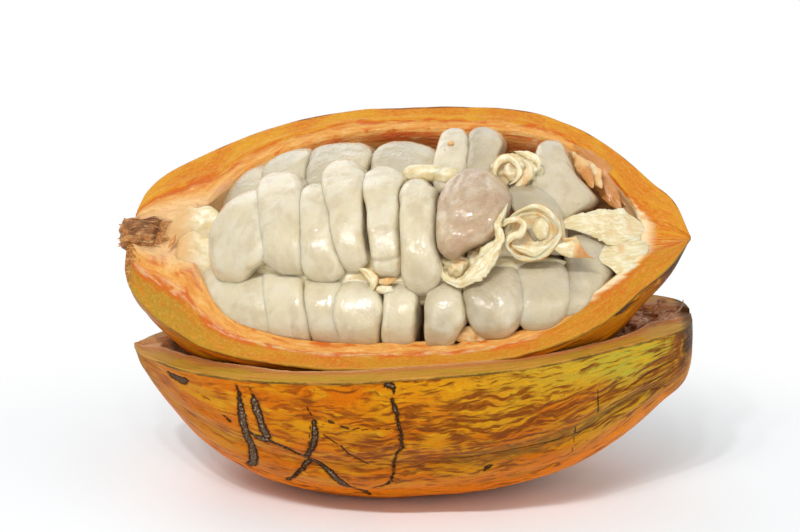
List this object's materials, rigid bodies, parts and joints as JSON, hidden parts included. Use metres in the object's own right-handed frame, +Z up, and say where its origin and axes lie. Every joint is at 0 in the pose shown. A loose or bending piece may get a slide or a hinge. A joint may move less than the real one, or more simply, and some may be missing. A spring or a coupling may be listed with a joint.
{
  "type": "open cacao pod",
  "caption": "Ripe cacao pod cut lengthwise: the half that holds the pulp-covered beans lies tilted on the other, emptied husk half.",
  "frame": {"origin": "under the middle of the whole object, on the surface that it rests on", "axes": "+X along the pod, towards the tip of the half that holds the beans; -Y towards the front, where the cut face with the beans is turned; +Z up"},
  "size_m": [0.1688, 0.1012, 0.1052],
  "materials": {
    "husk": "waxy golden-orange skin with brown streaks; cut face moist, golden outside and salmon-orange, fibrous inside",
    "husk_dry": "waxy orange to green-yellow skin with brown streaks and dark corky scars; cut face browned",
    "bean_pulp": "wet, slightly translucent white pulp",
    "placenta": "moist, fibrous cream membrane with orange edges",
    "stalk": "rough brown bark, frayed",
    "torn_pith": "torn, drying brown and pinkish fibres"
  },
  "bodies": {
    "root": {"husk_full_half": "husk", "husk_empty_half": "husk_dry", "stem": "stalk", "bean_mid_1": "bean_pulp", "bean_mid_2": "bean_pulp", "bean_mid_3": "bean_pulp", "bean_mid_4": "bean_pulp", "bean_mid_5": "bean_pulp", "bean_mid_6": "bean_pulp", "bean_mid_7": "bean_pulp", "bean_mid_8": "bean_pulp", "bean_near_1": "bean_pulp", "bean_near_2": "bean_pulp", "bean_near_3": "bean_pulp", "bean_near_4": "bean_pulp", "bean_near_5": "bean_pulp", "bean_near_6": "bean_pulp", "bean_near_7": "bean_pulp", "bean_near_8": "bean_pulp", "bean_near_9": "bean_pulp", "bean_far_1": "bean_pulp", "bean_far_2": "bean_pulp", "bean_far_3": "bean_pulp", "bean_far_4": "bean_pulp", "bean_far_5": "bean_pulp", "bean_far_6": "bean_pulp", "bean_far_7": "bean_pulp", "bean_under_near_1": "bean_pulp", "bean_under_near_2": "bean_pulp", "bean_under_near_3": "bean_pulp", "bean_under_near_4": "bean_pulp", "bean_under_near_5": "bean_pulp", "bean_under_near_6": "bean_pulp", "bean_under_near_7": "bean_pulp", "bean_under_near_8": "bean_pulp", "bean_under_far_1": "bean_pulp", "bean_under_far_2": "bean_pulp", "bean_under_far_3": "bean_pulp", "bean_under_far_4": "bean_pulp", "bean_under_far_5": "bean_pulp", "bean_under_far_6": "bean_pulp", "bean_under_far_7": "bean_pulp", "bean_under_far_8": "bean_pulp", "placenta_core": "placenta", "pulp_stem_end": "placenta", "pulp_tip_end": "placenta", "placenta_strand": "placenta", "placenta_curl": "placenta", "placenta_band": "placenta", "placenta_flap": "placenta", "membrane_torn": "placenta", "membrane_bit": "placenta", "placenta_crumbs": "placenta", "torn_pith": "torn_pith"}
  },
  "joints": []
}
